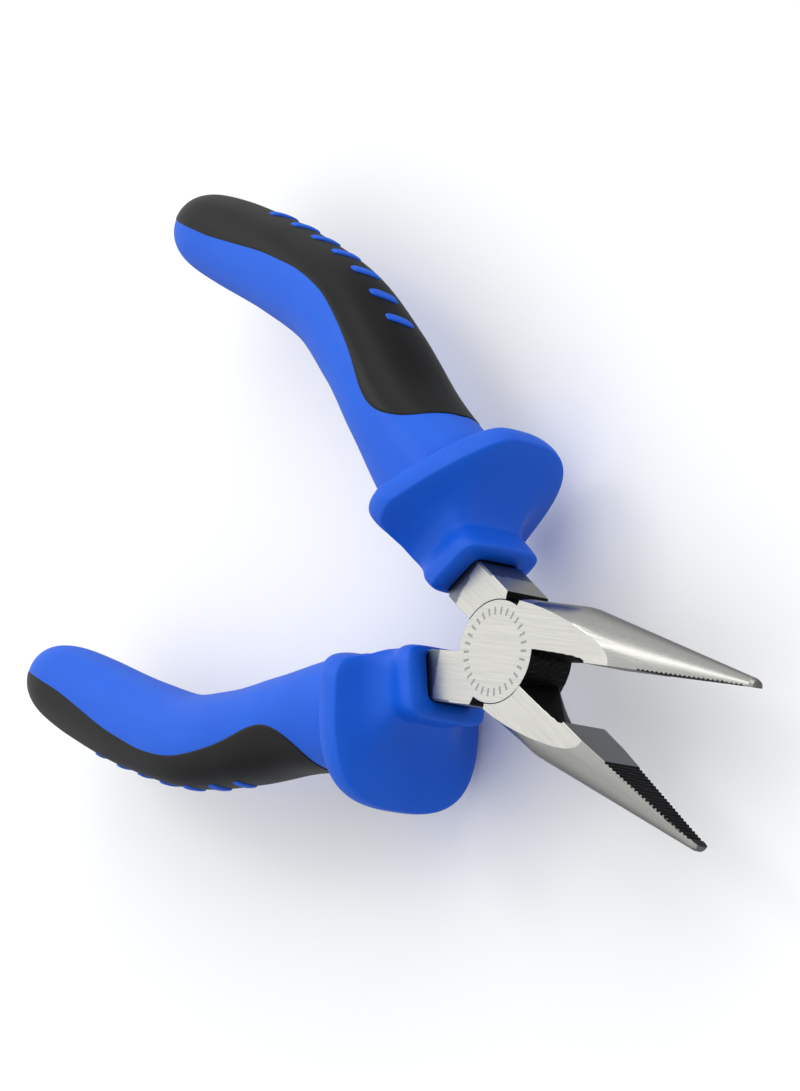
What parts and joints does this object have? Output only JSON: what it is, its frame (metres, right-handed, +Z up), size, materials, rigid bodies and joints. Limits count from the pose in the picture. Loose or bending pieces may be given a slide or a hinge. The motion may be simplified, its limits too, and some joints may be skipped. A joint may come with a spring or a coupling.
{
  "type": "long-nose pliers",
  "caption": "Mini long-nose pliers with half-round serrated jaws, a side cutter, a riveted lap joint and moulded grips with thumb guards.",
  "frame": {"origin": "on the ground under the middle of the pliers' bounding box, as they lie flat with the jaws open", "axes": "+X along the middle of the open jaws towards their tips, +Y towards the front half's jaw, +Z up, out of the joint's front face"},
  "size_m": [0.1182, 0.0708, 0.0252],
  "materials": {
    "steel": "satin ground, black oxide in the throat and on the serrations",
    "rivet_steel": "ground flush with the joint",
    "grip_blue": "satin moulded soft plastic",
    "grip_black": "matte moulded soft plastic"
  },
  "bodies": {
    "front": {"front_half": "steel", "pivot_rivet": "rivet_steel", "front_grip_shell": "grip_blue", "front_grip_insert": "grip_black"},
    "rear": {"rear_half": "steel", "rear_grip_shell": "grip_blue", "rear_grip_insert": "grip_black"}
  },
  "joints": [
    {"name": "jaw_pivot", "type": "hinge", "parent": "front", "child": "rear", "pos_m": [0.0214, 0, 0.0126], "axis": [0, 0, 1], "range_deg": [-19, 27.4]}
  ]
}
